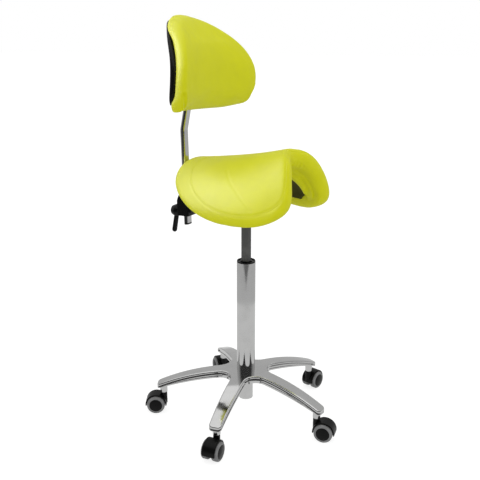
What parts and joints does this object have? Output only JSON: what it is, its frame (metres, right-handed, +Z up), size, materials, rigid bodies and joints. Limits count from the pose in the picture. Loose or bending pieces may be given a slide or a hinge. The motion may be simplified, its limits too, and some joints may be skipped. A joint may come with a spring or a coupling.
{
  "type": "saddle stool with backrest",
  "caption": "Height-adjustable medical saddle stool: padded saddle and backrest on a gas-spring column, star base with twin-wheel casters, lever-clamped backrest bar.",
  "frame": {"origin": "on the floor, on the column's axis", "axes": "+Z up along the column; the sitter faces -Y, so +Y points to the backrest and -X to the sitter's right"},
  "size_m": [0.5406, 0.5359, 1.072],
  "materials": {
    "lime_leatherette": "soft satin leatherette, faint grain",
    "chrome": "polished chrome plate",
    "zinc_steel": "zinc plated steel",
    "bright_steel": "ground steel",
    "grey_lacquer": "dark grey satin lacquer",
    "black_lacquer": "black satin lacquer",
    "black_plastic": "black moulded plastic",
    "plywood": "raw plywood",
    "caster_black": "black moulded plastic",
    "axle_steel": "steel axle",
    "grey_tread": "soft grey tread"
  },
  "bodies": {
    "base": {"base_casting": "chrome", "caster_stems": "zinc_steel", "column_tube": "chrome", "column_guide": "black_plastic", "thrust_bearing": "zinc_steel"},
    "spindle": {"piston_rod": "bright_steel", "rod_clip": "zinc_steel"},
    "seat": {"pressure_cylinder": "grey_lacquer", "cone_housing": "black_lacquer", "mounting_plate": "black_lacquer", "plate_bolts": "zinc_steel", "lever_pin": "zinc_steel", "seat_block": "plywood", "seat_shell": "black_plastic", "seat_cushion": "lime_leatherette", "support_arm": "black_lacquer", "clamp_body": "black_plastic"},
    "valve_pin": {"release_button": "bright_steel"},
    "height_lever": {"lever_rod": "black_lacquer", "lever_grip": "black_plastic"},
    "clamp_handle": {"clamp_stud": "zinc_steel", "clamp_lever": "black_plastic"},
    "backrest": {"backrest_bar": "chrome", "bar_plug": "black_plastic", "back_bracket": "black_lacquer", "back_screws": "zinc_steel", "back_shell": "black_plastic", "back_pad": "lime_leatherette"},
    "caster_1": {"caster_1_hood": "caster_black", "caster_1_axle": "axle_steel"},
    "caster_1_left_wheel": {"caster_1_left_core": "caster_black", "caster_1_left_tyre": "grey_tread"},
    "caster_1_right_wheel": {"caster_1_right_core": "caster_black", "caster_1_right_tyre": "grey_tread"},
    "caster_2": {"caster_2_hood": "caster_black", "caster_2_axle": "axle_steel"},
    "caster_2_left_wheel": {"caster_2_left_core": "caster_black", "caster_2_left_tyre": "grey_tread"},
    "caster_2_right_wheel": {"caster_2_right_core": "caster_black", "caster_2_right_tyre": "grey_tread"},
    "caster_3": {"caster_3_hood": "caster_black", "caster_3_axle": "axle_steel"},
    "caster_3_left_wheel": {"caster_3_left_core": "caster_black", "caster_3_left_tyre": "grey_tread"},
    "caster_3_right_wheel": {"caster_3_right_core": "caster_black", "caster_3_right_tyre": "grey_tread"},
    "caster_4": {"caster_4_hood": "caster_black", "caster_4_axle": "axle_steel"},
    "caster_4_left_wheel": {"caster_4_left_core": "caster_black", "caster_4_left_tyre": "grey_tread"},
    "caster_4_right_wheel": {"caster_4_right_core": "caster_black", "caster_4_right_tyre": "grey_tread"},
    "caster_5": {"caster_5_hood": "caster_black", "caster_5_axle": "axle_steel"},
    "caster_5_left_wheel": {"caster_5_left_core": "caster_black", "caster_5_left_tyre": "grey_tread"},
    "caster_5_right_wheel": {"caster_5_right_core": "caster_black", "caster_5_right_tyre": "grey_tread"}
  },
  "joints": [
    {"name": "seat_swivel", "type": "hinge", "parent": "base", "child": "spindle", "pos_m": [0, 0, 0.06], "axis": [0, 0, 1], "continuous": true},
    {"name": "seat_height", "type": "slide", "parent": "spindle", "child": "seat", "axis": [0, 0, 1], "range_m": [-0.125, 0.135]},
    {"name": "height_lever_pull", "type": "hinge", "parent": "seat", "child": "height_lever", "pos_m": [-0.032, 0, 0.6283], "axis": [0, 1, 0], "range_deg": [0, 6.5], "stiffness_Nm_per_rad": 1.2, "springref_deg": -8.59},
    {"name": "valve_pin_press", "type": "slide", "parent": "seat", "child": "valve_pin", "axis": [0, 0, 1], "range_m": [-0.0042, 0]},
    {"name": "clamp_handle_turn", "type": "hinge", "parent": "seat", "child": "clamp_handle", "pos_m": [0, 0.20297, 0.55652], "axis": [0, 0.9997, -0.0262], "range_deg": [-90, 90]},
    {"name": "backrest_height", "type": "slide", "parent": "seat", "child": "backrest", "axis": [0, 0.0262, 0.9997], "range_m": [-0.1, 0.02]},
    {"name": "caster_1_swivel", "type": "hinge", "parent": "base", "child": "caster_1", "pos_m": [-0.11151, 0.20116, 0.058], "axis": [0, 0, 1], "continuous": true},
    {"name": "caster_1_left_roll", "type": "hinge", "parent": "caster_1", "child": "caster_1_left_wheel", "pos_m": [-0.12251, 0.22021, 0.025], "axis": [-0.866, -0.5, 0], "continuous": true},
    {"name": "caster_1_right_roll", "type": "hinge", "parent": "caster_1", "child": "caster_1_right_wheel", "pos_m": [-0.12251, 0.22021, 0.025], "axis": [-0.866, -0.5, 0], "continuous": true},
    {"name": "caster_2_swivel", "type": "hinge", "parent": "base", "child": "caster_2", "pos_m": [-0.22577, -0.04389, 0.058], "axis": [0, 0, 1], "continuous": true},
    {"name": "caster_2_left_roll", "type": "hinge", "parent": "caster_2", "child": "caster_2_left_wheel", "pos_m": [-0.24769, -0.0458, 0.025], "axis": [0.0872, -0.9962, 0], "continuous": true},
    {"name": "caster_2_right_roll", "type": "hinge", "parent": "caster_2", "child": "caster_2_right_wheel", "pos_m": [-0.24769, -0.0458, 0.025], "axis": [0.0872, -0.9962, 0], "continuous": true},
    {"name": "caster_3_swivel", "type": "hinge", "parent": "base", "child": "caster_3", "pos_m": [-0.02803, -0.22829, 0.058], "axis": [0, 0, 1], "continuous": true},
    {"name": "caster_3_left_roll", "type": "hinge", "parent": "caster_3", "child": "caster_3_left_wheel", "pos_m": [-0.02383, -0.24988, 0.025], "axis": [0.9816, 0.1908, 0], "continuous": true},
    {"name": "caster_3_right_roll", "type": "hinge", "parent": "caster_3", "child": "caster_3_right_wheel", "pos_m": [-0.02383, -0.24988, 0.025], "axis": [0.9816, 0.1908, 0], "continuous": true},
    {"name": "caster_4_swivel", "type": "hinge", "parent": "base", "child": "caster_4", "pos_m": [0.20845, -0.0972, 0.058], "axis": [0, 0, 1], "continuous": true},
    {"name": "caster_4_left_roll", "type": "hinge", "parent": "caster_4", "child": "caster_4_left_wheel", "pos_m": [0.23005, -0.1014, 0.025], "axis": [0.1908, 0.9816, 0], "continuous": true},
    {"name": "caster_4_right_roll", "type": "hinge", "parent": "caster_4", "child": "caster_4_right_wheel", "pos_m": [0.23005, -0.1014, 0.025], "axis": [0.1908, 0.9816, 0], "continuous": true},
    {"name": "caster_5_swivel", "type": "hinge", "parent": "base", "child": "caster_5", "pos_m": [0.15686, 0.16821, 0.058], "axis": [0, 0, 1], "continuous": true},
    {"name": "caster_5_left_roll", "type": "hinge", "parent": "caster_5", "child": "caster_5_left_wheel", "pos_m": [0.171, 0.18506, 0.025], "axis": [-0.766, 0.6428, 0], "continuous": true},
    {"name": "caster_5_right_roll", "type": "hinge", "parent": "caster_5", "child": "caster_5_right_wheel", "pos_m": [0.171, 0.18506, 0.025], "axis": [-0.766, 0.6428, 0], "continuous": true}
  ],
  "couplings": [
    {"joint": "valve_pin_press", "follows": "height_lever_pull", "m_per_rad": -0.036}
  ]
}
